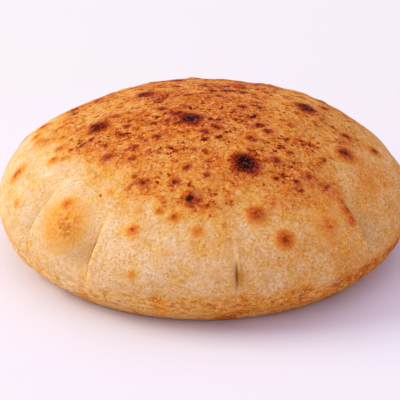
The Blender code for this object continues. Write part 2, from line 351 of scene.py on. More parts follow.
# core and ring are radii. heat says how far the core baked and ring_heat the
# ring, 0 being pale dough and 1 black char.
BLISTERS = (
    # The burnt ones of the cap and the lesser ones round them
    Blister(18.6, 0.0468, 0.0056, 0.0013, 1.04, 0.0088, 0.70),
    Blister(-16.5, 0.0172, 0.0052, 0.0010, 1.00, 0.0080, 0.66),
    Blister(-73.3, 0.0419, 0.0046, 0.0010, 0.92, 0.0072, 0.58),
    Blister(-39.6, 0.0156, 0.0030, 0.0006, 0.86, 0.0058, 0.60),
    Blister(-39.8, 0.0214, 0.0022, 0.0004, 0.76, 0.0042, 0.54),
    Blister(-71.8, 0.0170, 0.0024, 0.0004, 0.78, 0.0044, 0.54),
    Blister(-61.6, 0.0333, 0.0020, 0.0004, 0.74, 0.0040, 0.52),
    Blister(-39.5, 0.0411, 0.0024, 0.0004, 0.72, 0.0044, 0.50),
    Blister(-35.0, 0.0465, 0.0020, 0.0004, 0.70, 0.0040, 0.50),
    Blister(-80.6, 0.0348, 0.0024, 0.0004, 0.70, 0.0044, 0.50),
    Blister(-64.7, 0.0470, 0.0018, 0.0003, 0.76, 0.0032, 0.50),
    Blister(-72.7, 0.0576, 0.0020, 0.0004, 0.58, 0.0036, 0.44),
    Blister(-68.0, 0.0614, 0.0017, 0.0003, 0.58, 0.0034, 0.42),
    Blister(-119.4, 0.0262, 0.0048, 0.0010, 0.88, 0.0072, 0.60),
    Blister(98.5, 0.0401, 0.0050, 0.0009, 0.94, 0.0078, 0.62),
    # The front and the right of the cap
    Blister(-46.5, 0.0495, 0.0030, 0.0007, 0.74, 0.0056, 0.54),
    Blister(-23.3, 0.0562, 0.0017, 0.0007, 0.86, 0.0042, 0.58),
    Blister(-4.6, 0.0609, 0.0020, 0.0008, 0.98, 0.0056, 0.58),
    Blister(-11.3, 0.0541, 0.0017, 0.0005, 0.80, 0.0038, 0.54),
    Blister(0.6, 0.0381, 0.0017, 0.0004, 0.78, 0.0034, 0.52),
    Blister(0.8, 0.0265, 0.0021, 0.0004, 0.80, 0.0040, 0.52),
    Blister(-32.3, 0.0323, 0.0028, 0.0005, 0.74, 0.0050, 0.52),
    Blister(73.4, 0.0153, 0.0025, 0.0005, 0.84, 0.0048, 0.52),
    Blister(48.3, 0.0279, 0.0025, 0.0006, 0.86, 0.0048, 0.54),
    Blister(47.6, 0.0326, 0.0021, 0.0004, 0.80, 0.0042, 0.52),
    Blister(11.6, 0.0225, 0.0029, 0.0005, 0.80, 0.0050, 0.52),
    Blister(66.9, 0.0578, 0.0030, 0.0009, 0.92, 0.0066, 0.60),
    Blister(82.3, 0.0553, 0.0024, 0.0004, 0.80, 0.0048, 0.54),
    Blister(84.3, 0.0664, 0.0024, 0.0005, 0.76, 0.0050, 0.50),
    Blister(69.0, 0.0735, 0.0008, 0.0003, 0.55, 0.0026, 0.42),
    Blister(43.2, 0.0464, 0.0017, 0.0004, 0.80, 0.0034, 0.52),
    Blister(33.5, 0.0477, 0.0023, 0.0004, 0.76, 0.0040, 0.52),
    Blister(35.1, 0.0585, 0.0016, 0.0004, 0.80, 0.0034, 0.52),
    Blister(28.4, 0.0553, 0.0013, 0.0003, 0.86, 0.0030, 0.52),
    Blister(40.9, 0.0586, 0.0023, 0.0004, 0.72, 0.0042, 0.52),
    # The right half of the front wall, and the streak beside the right pleat
    Blister(16.4, 0.0673, 0.0020, 0.0009, 0.72, 0.0047, 0.58),
    Blister(22.7, 0.0754, 0.0020, 0.0008, 0.76, 0.0046, 0.56),
    Blister(37.0, 0.0749, 0.0030, 0.0005, 0.50, 0.0080, 0.38),
    Blister(47.4, 0.0668, 0.0014, 0.0002, 0.60, 0.0032, 0.42),
    Blister(46.2, 0.0700, 0.0018, 0.0002, 0.68, 0.0036, 0.50),
    Blister(45.6, 0.0728, 0.0019, 0.0003, 0.70, 0.0040, 0.52),
    Blister(45.4, 0.0754, 0.0017, 0.0003, 0.66, 0.0038, 0.50),
    # The broad golden stain and the spots of the left wall
    Blister(-42.6, 0.0758, 0.0046, 0.0012, 0.49, 0.0126, 0.39),
    Blister(-41.0, 0.0770, 0.0022, 0.0002, 0.56, 0.0042, 0.44),
    Blister(-45.0, 0.0710, 0.0012, 0.0003, 0.70, 0.0036, 0.46),
    Blister(-20.5, 0.0728, 0.0011, 0.0005, 0.72, 0.0034, 0.46),
    Blister(-18.8, 0.0806, 0.0006, 0.0003, 0.44, 0.0022, 0.38),
    Blister(-77.3, 0.0735, 0.0024, 0.0006, 0.62, 0.0050, 0.40),
    Blister(-66.5, 0.0777, 0.0010, 0.0003, 0.46, 0.0026, 0.34),
    Blister(-101.5, 0.0645, 0.0028, 0.0004, 0.70, 0.0050, 0.44),
    # The faint small ones of the front wall
    Blister(-8.9, 0.0676, 0.0014, 0.0004, 0.76, 0.0032, 0.50),
    Blister(-14.2, 0.0659, 0.0010, 0.0003, 0.72, 0.0026, 0.50),
    Blister(0.8, 0.0634, 0.0009, 0.0003, 0.76, 0.0028, 0.48),
    Blister(3.0, 0.0800, 0.0004, 0.0002, 0.36, 0.0032, 0.24),
    Blister(-2.0, 0.0716, 0.0006, 0.0002, 0.44, 0.0036, 0.42),
    Blister(-20.7, 0.0664, 0.0006, 0.0002, 0.42, 0.0030, 0.30),
    Blister(-33.3, 0.0623, 0.0006, 0.0002, 0.44, 0.0026, 0.34),
    Blister(-35.7, 0.0646, 0.0005, 0.0002, 0.98, 0.0009, 0.30),
    Blister(-10.8, 0.0775, 0.0006, 0.0002, 0.30, 0.0036, 0.20),
    # Round the back
    Blister(150.0, 0.0520, 0.0036, 0.0006, 0.90, 0.0066, 0.56),
    Blister(-164.0, 0.0380, 0.0034, 0.0008, 0.84, 0.0060, 0.54),
    Blister(175.0, 0.0660, 0.0022, 0.0005, 0.72, 0.0050, 0.48),
    Blister(-148.0, 0.0620, 0.0030, 0.0006, 0.80, 0.0060, 0.52),
    Blister(125.0, 0.0720, 0.0016, 0.0003, 0.68, 0.0044, 0.48),
    Blister(-105.6, 0.0739, 0.0014, 0.0003, 0.66, 0.0042, 0.46),
    Blister(144.0, 0.0760, 0.0008, 0.0003, 0.60, 0.0034, 0.44),
    Blister(-172.0, 0.0750, 0.0012, 0.0005, 0.64, 0.0044, 0.46),
    Blister(-146.0, 0.0770, 0.0006, 0.0003, 0.50, 0.0030, 0.40),
)
PATCH_RING = 0.0090       # a blister with a wider ring than this is a broad stain
PATCH_SPREAD = 1.7        # how far a stain's own mottling reaches, in core widths
PATCH_CALM = 1.7          # and how much it smooths the rest
PATCH_HALO = 0.82
BLISTER_REACH = 3.0       # the points within this many rings of its middle are looked at
RISE_SPREAD = 1.3         # the bulge's width in core widths, and what is added to it
RISE_EASE = 0.0012
CORE_SPREAD = 1.35        # widths of the scorched core and of the ring, and how steep
HALO_SPREAD = 1.15        # both are
STAIN_POWER = 2.2
RING_GLOW = 0.07          # how much more a ring baked beside its core
BLISTER_WARP = 0.14       # how uneven a blister's outline is, of its ring
BLISTER_WARP_SIZE = 0.0042
WARP_SEED = 1             # noise_vector draws anew in each run without one

noise.seed_set(WARP_SEED)
warp = np.array([noise.noise_vector(Vector(point) / BLISTER_WARP_SIZE) for point in plain])
blister_rise = np.zeros(len(plain))
core_heat = np.zeros(len(plain))
ring_heat = np.zeros(len(plain))
patch = np.zeros(len(plain))
calm = np.zeros(len(plain))


def disc(value, width):
    """Like a bell, with a flat top."""
    return np.exp(-((value / width) ** 4))


def stain(value, width):
    """Like a bell, a little steeper."""
    return np.exp(-((value / width) ** STAIN_POWER))


def dome_point(bearing, distance):
    """The point of the plain top crust at a bearing and a distance."""
    way = math.radians(bearing)
    return np.array((distance * math.sin(way), -distance * math.cos(way), dome_height(distance)))


def raise_blister(blister):
    """Add one blister to the relief and to the baking."""
    centre = dome_point(blister.bearing, blister.distance)
    reach = BLISTER_REACH * max(blister.ring, blister.core)
    near = np.nonzero(np.abs(plain - centre).max(axis=1) < reach)[0]
    true_gap = np.linalg.norm(plain[near] - centre, axis=1)
    gap = np.linalg.norm(plain[near] + BLISTER_WARP * blister.ring * warp[near] - centre, axis=1)
    blister_rise[near] += blister.rise * bell(true_gap, RISE_SPREAD * blister.core + RISE_EASE)
    scorched = blister.heat * stain(gap, CORE_SPREAD * blister.core)
    core_heat[near] = np.maximum(core_heat[near], scorched)
    ring = disc(gap, blister.ring)
    halo = stain(gap, HALO_SPREAD * blister.ring)
    if blister.ring > PATCH_RING:
        halo = PATCH_HALO * ring
        ring = PATCH_CALM * ring
        patch[near] = disc(gap, PATCH_SPREAD * blister.core)
    ring_heat[near] = np.maximum(ring_heat[near], (blister.ring_heat + RING_GLOW) * halo)
    calm[near] = np.maximum(calm[near], ring)


for blister in BLISTERS:
    raise_blister(blister)


# The crowd of small blisters: bubbles of the same kind all over the toasted
# crust, clear of the larger ones. The edge of the cap at the front and the
# right has none.
SMALL_BLISTERS = 165
SMALL_SEED = 12
SMALL_CORES = (0.0008, 0.0022)
SMALL_HEATS = (0.54, 0.80)
SMALL_RISE = 0.20         # in core widths
SMALL_RING = 2.6
SMALL_RING_HEAT = 0.42
KEEP_OFF = 0.9            # in rings of the larger ones
BARE_BEARINGS = (-65.0, 105.0)
BARE_SHARE = 0.72         # of the way to the edge of the cap

large_places = [(dome_point(large.bearing, large.distance)[:2], large.ring) for large in BLISTERS]


def is_clear(spot, core):
    """Whether a small blister lies clear of all the larger ones."""
    return all(math.dist(spot, place) >= KEEP_OFF * ring + core for place, ring in large_places)


luck = np.random.default_rng(SMALL_SEED)
for count in range(SMALL_BLISTERS):
    way = luck.uniform(-180.0, 180.0)
    share = math.sqrt(luck.uniform(0.0, 1.0))
    out = share * float(np.interp(way, edge_bearings, edge_distances, period=360.0))
    core = luck.uniform(*SMALL_CORES)
    heat = luck.uniform(*SMALL_HEATS)
    bare = BARE_BEARINGS[0] < way < BARE_BEARINGS[1] and share > BARE_SHARE
    if is_clear(dome_point(way, out)[:2], core) and not bare:
        raise_blister(Blister(way, out, core, SMALL_RISE * core, heat, SMALL_RING * core, SMALL_RING_HEAT))


# The baking: how far each part of the crust went, from pale dough at 0 to char
# at 1. The flame toasted the cap, the wall and the rim are browner on the right
# than on the left, and the oven's floor browned the foot.
CAP_HEAT = 0.464
CAP_HEAT_SWING = 0.05
CAP_SWING_SIZE = 0.016
CAP_SHADED = 0.12         # lighter on the right and at the front of the cap, painted light where it lies in shade
SHADED_RIGHT = (100.0, 38.0)  # bearing and spread, both in degrees
SHADED_RIGHT_BAND = (0.022, 0.046)  # distances from the axis where it starts and is full
SHADED_FRONT = (-2.0, 22.0)
SHADED_FRONT_BAND = (0.042, 0.056)
SHADED_FRONT_SHARE = 0.7
FAR_SIDE = (180.0, 90.0)
FAR_BAND = (0.010, 0.030)
FAR_SWING = 0.16          # the back of the cap is streaked
FAR_SWING_SIZE = 0.0080
FAR_UNEVEN = 1.6          # how much more the cap's slow swing is there
FAR_PALE = 0.025
DOUGH_HEAT = 0.10
DOUGH_HEAT_SWING = 0.10
DOUGH_SWING_SIZE = 0.014
SIDE_HEAT = 0.21          # more on the right wall than on the left
SIDE_START = (-90.0, 70.0)  # bearings where the browner wall starts and is full
SIDE_END = (175.0, 120.0)
SUNNY_HEAT = 0.05         # a little more on the left
SUNNY_SIDE = (-95.0, 45.0)
RIM_HEAT = 0.21           # added to the wall's, in full on the right and none on the left
RIM_CRAG_HEAT = 0.08
FOOT_HEAT = 0.30          # where it lay on the oven's floor
FOOT_HEAT_SWING = 0.12
FOOT_SWING_SIZE = 0.020
FOOT_SPOT_HEAT = 0.22
FOOT_SPOT_SIZE = 0.0090
FOOT_SPOT_BAND = (0.20, 0.45)
FOOT_BAND = (0.0070, 0.0010)  # heights over the floor where it starts and is full
GOLDEN_START = (-60.0, 20.0)  # bearings where the rim turns golden
Drift = namedtuple("Drift", "bearing distance spread heat")
DRIFTS = (                # broad stretches that baked more or less than what is round them
    Drift(-34.0, 0.0245, 0.0095, 0.10),
    Drift(-129.0, 0.0173, 0.0080, 0.09),
    Drift(-62.0, 0.0520, 0.0070, 0.04),
    Drift(-38.0, 0.0545, 0.0075, 0.05),
    Drift(-94.0, 0.0427, 0.0120, -0.10),
    Drift(-61.6, 0.0406, 0.0080, -0.08),
    Drift(-24.0, 0.0410, 0.0095, -0.07),
    Drift(-123.5, 0.0450, 0.0120, -0.10),
    Drift(118.5, 0.0320, 0.0100, -0.07),
    Drift(57.0, 0.0510, 0.0085, -0.06),
    Drift(20.0, 0.0283, 0.0060, -0.06),
    Drift(42.0, 0.0149, 0.0060, 0.04),
    Drift(35.0, 0.0615, 0.0085, 0.08),
    Drift(-53.0, 0.0595, 0.0070, -0.13),
    Drift(-77.0, 0.0600, 0.0080, -0.10),
    Drift(-58.0, 0.0790, 0.0095, -0.08),
    Drift(-26.0, 0.0760, 0.0070, -0.06),
    Drift(-10.0, 0.0735, 0.0060, -0.04),
    Drift(15.0, 0.0775, 0.0060, -0.06),
    Drift(-20.0, 0.0680, 0.0050, 0.06),
    Drift(-1.0, 0.0655, 0.0050, 0.04),
    Drift(6.0, 0.0806, 0.0070, 0.05),
    Drift(42.0, 0.0800, 0.0070, 0.04),
    Drift(31.0, 0.0806, 0.0070, 0.05),
)
DRIFT_CLOTS = 4.0         # how many more dark clots they have, for their heat

side = smoothstep(*SIDE_START, bearing) * smoothstep(*SIDE_END, bearing)
dough_heat = DOUGH_HEAT + SIDE_HEAT * side + SUNNY_HEAT * facing(*SUNNY_SIDE)
dough_heat = dough_heat + DOUGH_HEAT_SWING * grain(plain, DOUGH_SWING_SIZE, place=5.7)
# painted light: the cap's crust is lighter where it lies in shade on the right and at the front
shaded = facing(*SHADED_RIGHT) * beyond(*SHADED_RIGHT_BAND)
shaded_front = SHADED_FRONT_SHARE * facing(*SHADED_FRONT) * beyond(*SHADED_FRONT_BAND)
shaded = np.maximum(shaded, shaded_front)
far_side = facing(*FAR_SIDE) * beyond(*FAR_BAND)
cap_swing = CAP_HEAT_SWING * (1.0 + FAR_UNEVEN * far_side) * grain(plain, CAP_SWING_SIZE, place=1.9)
cap_swing += FAR_SWING * far_side * grain(plain, FAR_SWING_SIZE, place=21.0)
bake = (1.0 - cap) * dough_heat
bake += cap * (CAP_HEAT + cap_swing - CAP_SHADED * shaded - FAR_PALE * far_side)
drifted = np.zeros(len(plain))
for drift in DRIFTS:
    reach = np.linalg.norm(plain - dome_point(drift.bearing, drift.distance), axis=1)
    drifted += drift.heat * bell(reach, drift.spread)
bake += drifted
bake += rim_band * (RIM_HEAT * side + RIM_CRAG_HEAT * crag)
foot = smoothstep(*FOOT_BAND, height)
foot_spots = smoothstep(*FOOT_SPOT_BAND, grain(plain, FOOT_SPOT_SIZE, place=9.4))
foot_heat = FOOT_HEAT + FOOT_HEAT_SWING * grain(plain, FOOT_SWING_SIZE, place=6.1)
foot_heat += FOOT_SPOT_HEAT * foot_spots
bake += foot * (foot_heat - bake)
bake = np.maximum(bake, ring_heat)
golden = smoothstep(*GOLDEN_START, bearing) * smoothstep(*SIDE_END, bearing)
golden = rim_band * np.maximum(foot, golden)


# The clots and stains: dark clots dot the toasted skin, fewer of them at the
# front, the left and the back of the cap. The pale wall is stained, more
# unevenly at the sides and the back than in front.
FEW_CLOTS_RIGHT = (30.0, 68.0)
FEW_CLOTS_RIGHT_BAND = (0.030, 0.048)
FEWER_RIGHT = 0.42
FEW_CLOTS_LEFT = (-75.0, 50.0)
FEW_CLOTS_LEFT_BAND = (0.020, 0.045)
FEWER_LEFT = 0.20
FEWER_FAR = 0.10
MOTTLING = 1.8            # at the sides and the back
MOTTLING_LESS = 0.8       # how much less in front
MOTTLING_SPREAD = 62.0    # degrees

clotting = 1.0 - FEWER_RIGHT * facing(*FEW_CLOTS_RIGHT) * beyond(*FEW_CLOTS_RIGHT_BAND)
clotting -= FEWER_LEFT * facing(*FEW_CLOTS_LEFT) * beyond(*FEW_CLOTS_LEFT_BAND)
clotting += DRIFT_CLOTS * drifted - FEWER_FAR * far_side
mottling = MOTTLING - MOTTLING_LESS * bell(bearing, MOTTLING_SPREAD)


# The dry skin itself: finely crumpled all over, drawn together in small
# wrinkles where it was toasted, and crackled where a blister burnt. With it the
# relief is whole, and the mesh takes its shape.
CRUMPLE = 0.00012
CRUMPLE_SIZE = 0.0028
CRINKLE = 0.00030
CRINKLE_SIZE = 0.0058
CHAR_CRACKLE = 0.00035
CHAR_CRACKLE_SIZE = 0.0016
CORE_BAND = (0.30, 0.60)  # heats between which a core scorched
CHAR_BAND = (0.60, 0.86)  # and between which it burnt
FLAT_FOOT = (0.0015, 0.0060)  # heights over the floor where the relief starts and is full
RIM_MASK = (0.55, 0.45)   # how rough the rim is at the left, and how much more at the right

core = smoothstep(*CORE_BAND, core_heat)
char = smoothstep(*CHAR_BAND, core_heat)
crinkles = CRINKLE * grain(plain, CRINKLE_SIZE, place=12.1)
crinkles = crinkles + 0.5 * CRINKLE * grain(plain, 0.5 * CRINKLE_SIZE, place=13.7)
fine_relief = CRUMPLE * grain(plain, CRUMPLE_SIZE, place=2.2)
fine_relief += char * CHAR_CRACKLE * grain(plain, CHAR_CRACKLE_SIZE, place=4.4)
fine_relief += toasted * crinkles

relief = slow_relief + pleat_relief + rim_relief + blister_rise + fine_relief
relief *= smoothstep(*FLAT_FOOT, height)
shaped = plain + outward * relief[:, None]
body_mesh.vertices.foreach_set("co", shaped.ravel())
body_mesh.update()
body_mesh.shade_smooth()

MASKS = {
    "bake": bake,
    "scorch": core_heat,
    "calm": calm,
    "core": core,
    "char": char,
    "rim": rim_band * (RIM_MASK[0] + RIM_MASK[1] * side),
    "patch": patch,
    "slit": slit,
    "hollow": hollow,
    "crease": crease,
    "glow": glow,
    "clotting": clotting,
    "mottling": mottling,
    "side": side,
    "toasted": toasted,
    "golden": golden,
}
for name, values in MASKS.items():
    layer = body_mesh.attributes.new(name, "FLOAT", "POINT")
    layer.data.foreach_set("value", values.astype(np.float32))


# The finish of the crust: dry floured dough, toasted through gold and brown to
# black where it stood nearest the flame. One browning scale colours it all, and
# fine mottling, bran specks, flour and grit are laid over the baking.
BEND_SIZE = 0.0016        # most patterns are bent by lumps of this size
BEND = 0.0018             # and about this far
SQUASH = 2.6              # how much wider than high the streaks of the wall are
CLOUD_SIZE = 0.0095
STAIN_SIZE = 0.0044
SWIRL_SIZE = 0.0034
STREAK_SIZE = 0.0034
DUST_SIZE = 0.0022
FINE_SIZE = 0.0013
GRIT_SIZE = 0.0009
FRAZZLE_SIZE = 0.0026
HONEY_SIZE = 0.0058
TINGE_SIZE = 0.0046
FLOUR_SIZE = 0.0032
BUBBLE_SIZE = 0.0036
PEPPER_SIZE = 0.0024
PIT_SIZE = 0.0036
POCK_SIZE = 0.0019
BRAN_SIZE = 0.0010
BUMP_HEIGHT = 0.0009


def paint(red, green, blue):
    """A colour from its 0 to 255 screen values."""
    values = [value / 255.0 for value in (red, green, blue)]
    linear = [v / 12.92 if v <= 0.04045 else ((v + 0.055) / 1.055) ** 2.4 for v in values]
    return (*linear, 1.0)


BROWNING = (
    (0.00, paint(251, 216, 180)),
    (0.16, paint(247, 196, 143)),
    (0.30, paint(246, 173, 84)),
    (0.42, paint(239, 139, 50)),
    (0.54, paint(217, 97, 32)),
    (0.66, paint(178, 58, 16)),
    (0.78, paint(128, 33, 10)),
    (0.90, paint(70, 15, 6)),
    (1.00, paint(30, 7, 4)),
)
WALL_GOLD = paint(224, 162, 84)
WALL_PINK = paint(238, 190, 152)
STAIN_GOLD = paint(248, 176, 66)
HONEY = paint(246, 174, 82)
# pale flecks, partly bare dough and partly painted highlight
FLECK_HIGHLIGHT = paint(255, 198, 124)
# painted glints of light on the scorched cores
GLINT = paint(186, 118, 102)
FLOUR = paint(250, 212, 166)
TAN = paint(214, 154, 86)
POCK_BROWN = paint(190, 128, 66)
NICK_BROWN = paint(178, 112, 46)
PIT_BROWN = paint(180, 106, 34)
BRAN_BROWN = paint(150, 72, 26)
# painted shade in the hollow on a pleat's gentle side
HOLLOW_SHADE = paint(206, 162, 112)
# painted highlight along a pleat's crease
CREASE_HIGHLIGHT = paint(250, 214, 172)
GLOW_GOLD = paint(206, 136, 44)
# painted shade along the bottom of a pleat
SLIT_SHADE = paint(146, 76, 6)
RIM_YELLOW = paint(255, 248, 214)    # these two are multiplied in
TINGE_YELLOW = paint(255, 252, 216)
TINGE_ASH = paint(3, 10, 36)         # and this one is added


def wire(tree, kind, inputs=None, **settings):
    """A new node with its settings made and its sockets fed or set."""
    made = tree.nodes.new(kind)
    for name, value in settings.items():
        setattr(made, name, value)
    for socket, value in (inputs or {}).items():
        if isinstance(value, bpy.types.NodeSocket):
            tree.links.new(value, made.inputs[socket])
        else:
            made.inputs[socket].default_value = value
    return made


def calc(tree, operation, *values, clamp=False):
    """The output of one Math node."""
    inputs = dict(enumerate(values))
    return wire(tree, "ShaderNodeMath", inputs, operation=operation, use_clamp=clamp).outputs[0]


def times(tree, first, second):
    """Two values multiplied."""
    return calc(tree, "MULTIPLY", first, second)


def add_share(tree, value, share, total):
    """A share of one value added to the total."""
    return calc(tree, "MULTIPLY_ADD", value, share, total)


def swing(tree, value, strength):
    """A noise between 0 and 1 turned into a swing about nought."""
    return calc(tree, "MULTIPLY_ADD", value, strength, -0.5 * strength)


def mask(tree, name):
    """One of the values kept on the mesh."""
    return wire(tree, "ShaderNodeAttribute", attribute_name=name).outputs["Fac"]


def rise(tree, value, start, end, top=1.0):
    """0 at start and top at end, with a soft change between."""
    inputs = {"Value": value, "From Min": start, "From Max": end, "To Max": top}
    return wire(tree, "ShaderNodeMapRange", inputs, interpolation_type="SMOOTHSTEP").outputs[0]


def mottle(tree, place, size, detail, rough, distort=0.0):
    """Layered noise around 0.5 whose largest lumps are about size across."""
    inputs = {"Vector": place, "Scale": 1.0 / size, "Detail": detail}
    inputs.update({"Roughness": rough, "Distortion": distort})
    return wire(tree, "ShaderNodeTexNoise", inputs).outputs["Fac"]


def speckle(tree, place, size, share, soft):
    """Round specks, one in some cells about size across. share is how many
    cells have one, and soft is how soft its edge is."""
    cells = wire(tree, "ShaderNodeTexVoronoi", {"Vector": place, "Scale": 1.0 / size})
    chance = wire(tree, "ShaderNodeSeparateColor", {"Color": cells.outputs["Color"]}).outputs[0]
    reach = times(tree, calc(tree, "SUBTRACT", chance, 1.0 - share), 0.5 / share)
    inside = calc(tree, "SUBTRACT", reach, cells.outputs["Distance"])
    return calc(tree, "DIVIDE", inside, soft, clamp=True)


def ramp(tree, factor, stops):
    """A Color Ramp from a list of positions and colours."""
    made = wire(tree, "ShaderNodeValToRGB", {"Fac": factor})
    band = made.color_ramp
    while len(band.elements) < len(stops):
        band.elements.new(0.5)
    for element, (position, colour) in zip(band.elements, stops):
        element.position = position
        element.color = colour
    return made.outputs["Color"]


def blend(tree, factor, first, second, way="MIX"):
    """One colour laid over another, or multiplied by it."""
    inputs = {"Factor": factor, 6: first, 7: second}
    return wire(tree, "ShaderNodeMix", inputs, data_type="RGBA", blend_type=way).outputs[2]


def read_skin(tree):
    """The values kept on the mesh, and what the steps work out from them."""
    skin = SimpleNamespace(**{name: mask(tree, name) for name in MASKS})
    rough = add_share(tree, skin.calm, -0.50, 1.0)
    skin.rough = calc(tree, "MULTIPLY_ADD", skin.core, -0.25, rough, clamp=True)
    skin.pale = times(tree, calc(tree, "SUBTRACT", 1.0, skin.toasted), skin.rough)
    steady = calc(tree, "MULTIPLY_ADD", skin.calm, -0.80, 1.0, clamp=True)
    skin.toasting = times(tree, skin.toasted, steady)
    return skin


def crust_patterns(tree):
    """The patterns that several steps share, from broad clouds to fine grit."""
    place = wire(tree, "ShaderNodeTexCoord").outputs["Object"]
    lumps = wire(tree, "ShaderNodeTexNoise", {"Vector": place, "Scale": 1.0 / BEND_SIZE, "Detail": 3.0})
    centring = {0: lumps.outputs["Color"], 1: (0.5, 0.5, 0.5)}
    lumps = wire(tree, "ShaderNodeVectorMath", centring, operation="SUBTRACT").outputs[0]
    bending = {0: lumps, 1: (BEND, BEND, BEND), 2: place}
    bent = wire(tree, "ShaderNodeVectorMath", bending, operation="MULTIPLY_ADD").outputs[0]
    squashed = wire(tree, "ShaderNodeMapping", {"Vector": bent, "Scale": (1.0, 1.0, SQUASH)}).outputs[0]
    grit = mottle(tree, place, GRIT_SIZE, 3.0, 0.75)
    return SimpleNamespace(
        place=place,
        bent=bent,
        squashed=squashed,
        clouds=mottle(tree, place, CLOUD_SIZE, 5.0, 0.62),
        swirl=mottle(tree, place, SWIRL_SIZE, 3.0, 0.60, 1.8),
        honey=mottle(tree, place, HONEY_SIZE, 4.0, 0.62, 1.2),
        dust=mottle(tree, place, DUST_SIZE, 4.0, 0.75),
        fine=mottle(tree, bent, FINE_SIZE, 3.0, 0.70),
        grit=grit,
        grains=rise(tree, grit, 0.45, 0.58),
        dashes=mottle(tree, squashed, STREAK_SIZE, 4.0, 0.66),
        pits=speckle(tree, squashed, PIT_SIZE, 0.70, 0.24),
    )


def dark_clots(tree, skin, seen, stains):
    """Where the toasted skin has dark clots and bubbles."""
    bubbles = speckle(tree, seen.bent, BUBBLE_SIZE, 0.45, 0.20)
    clots = calc(tree, "MAXIMUM", bubbles, rise(tree, stains, 0.598, 0.633))
    clots = times(tree, clots, add_share(tree, seen.grains, 0.40, 0.60))
    return times(tree, clots, skin.clotting)


def toasted_heat(tree, seen, stains, clots):
    """How much more or less the spots of the toasted skin baked."""
    heat = add_share(tree, clots, 0.34, swing(tree, seen.clouds, 0.28))
    heat = add_share(tree, rise(tree, stains, 0.50, 0.61), 0.12, heat)
    heat = add_share(tree, rise(tree, stains, 0.47, 0.36), -0.08, heat)
    heat = calc(tree, "ADD", heat, swing(tree, seen.dust, 0.16))
    return calc(tree, "ADD", heat, swing(tree, seen.swirl, 0.52))


def pale_heat(tree, skin, seen):
    """How much more or less the spots of the pale wall baked."""
    streaks = mottle(tree, seen.squashed, STREAK_SIZE, 4.0, 0.7)
    heat = calc(tree, "ADD", swing(tree, seen.clouds, 0.30), swing(tree, seen.dust, 0.10))
    heat = calc(tree, "ADD", heat, swing(tree, streaks, 0.18))
    return times(tree, heat, skin.mottling)


def toasted_specks(tree, skin, seen, heat):
    """The fine specks and the pepper of darker dots on the toasted skin."""
    specks = times(tree, rise(tree, seen.fine, 0.46, 0.38), skin.toasted)
    heat = add_share(tree, specks, 0.10, heat)
    pepper = speckle(tree, seen.bent, PEPPER_SIZE, 0.44, 0.18)
    pepper = times(tree, pepper, rise(tree, seen.swirl, 0.46, 0.56))
    return add_share(tree, times(tree, pepper, skin.toasting), 0.34, heat)


def scorching(tree, skin, seen, heat):
    """The ragged scorched cores of the blisters, and the broad stain."""
    frazzle = swing(tree, mottle(tree, seen.bent, FRAZZLE_SIZE, 3.0, 0.55), 0.95)
    ragged = times(tree, rise(tree, skin.scorch, 0.02, 0.34), rise(tree, skin.scorch, 0.95, 0.40))
    heat = calc(tree, "MAXIMUM", heat, add_share(tree, frazzle, ragged, skin.scorch))
    heat = add_share(tree, swing(tree, seen.grains, 0.14), skin.core, heat)
    heat = add_share(tree, swing(tree, seen.grit, 0.6), skin.char, heat)
    return add_share(tree, swing(tree, seen.fine, 1.10), skin.patch, heat)


def gritty_heat(tree, skin, seen, heat):
    """The fine grit of the skin, coarser on the right wall."""
    busy = add_share(tree, skin.side, 0.60, -0.16)
    gritty = add_share(tree, skin.pale, busy, times(tree, skin.rough, 0.54))
    gritty = add_share(tree, skin.toasted, -0.22, gritty)
    return add_share(tree, swing(tree, seen.grit, 1.0), gritty, heat)


def wall_veils(tree, skin, seen, heat, colour):
    """Golden and pink veils on the pale wall, and gold on the broad stain."""
    gold = times(tree, rise(tree, seen.honey, 0.50, 0.60, 0.50), skin.pale)
    colour = blend(tree, gold, colour, WALL_GOLD)
    pink = times(tree, rise(tree, seen.honey, 0.47, 0.36, 0.40), rise(tree, heat, 0.46, 0.28))
    colour = blend(tree, times(tree, pink, skin.pale), colour, WALL_PINK)
    return blend(tree, times(tree, skin.patch, 0.30), colour, STAIN_GOLD)


def toasted_lights(tree, skin, seen, heat, colour):
    """Honey veils, pale flecks of bare dough with painted highlights, and painted glints on what is burnt.
    """
    browned = rise(tree, heat, 0.66, 0.46)
    honey = times(tree, rise(tree, seen.honey, 0.50, 0.62, 0.52), skin.toasted)
    colour = blend(tree, times(tree, honey, browned), colour, HONEY)
    where = calc(tree, "MAXIMUM", skin.toasted, times(tree, skin.rim, 1.5))
    # pale flecks on the toasted skin and rim, part bare dough and part painted highlight
    flecks_and_highlights = calc(tree, "MULTIPLY", rise(tree, seen.fine, 0.545, 0.615, 0.68), where, clamp=True)
    colour = blend(tree, times(tree, flecks_and_highlights, browned), colour, FLECK_HIGHLIGHT)
    # painted glints of light on the scorched cores
    glints = times(tree, rise(tree, seen.fine, 0.56, 0.64, 0.50), skin.core)
    return blend(tree, glints, colour, GLINT)


def wall_dusting(tree, skin, seen, heat, colour):
    """Flour, tan grit and brown pocks on the pale wall."""
    flour = rise(tree, mottle(tree, seen.squashed, FLOUR_SIZE, 6.0, 0.78), 0.51, 0.58, 0.60)
    floured = times(tree, rise(tree, heat, 0.40, 0.12), skin.rough)
    colour = blend(tree, times(tree, flour, floured), colour, FLOUR)
    tan = times(tree, rise(tree, seen.grit, 0.49, 0.62, 0.50), skin.pale)
    colour = blend(tree, tan, colour, TAN)
    pocks = speckle(tree, seen.bent, POCK_SIZE, 0.42, 0.22)
    pocks = times(tree, pocks, rise(tree, seen.clouds, 0.44, 0.58, 0.40))
    return blend(tree, times(tree, pocks, skin.pale), colour, POCK_BROWN)


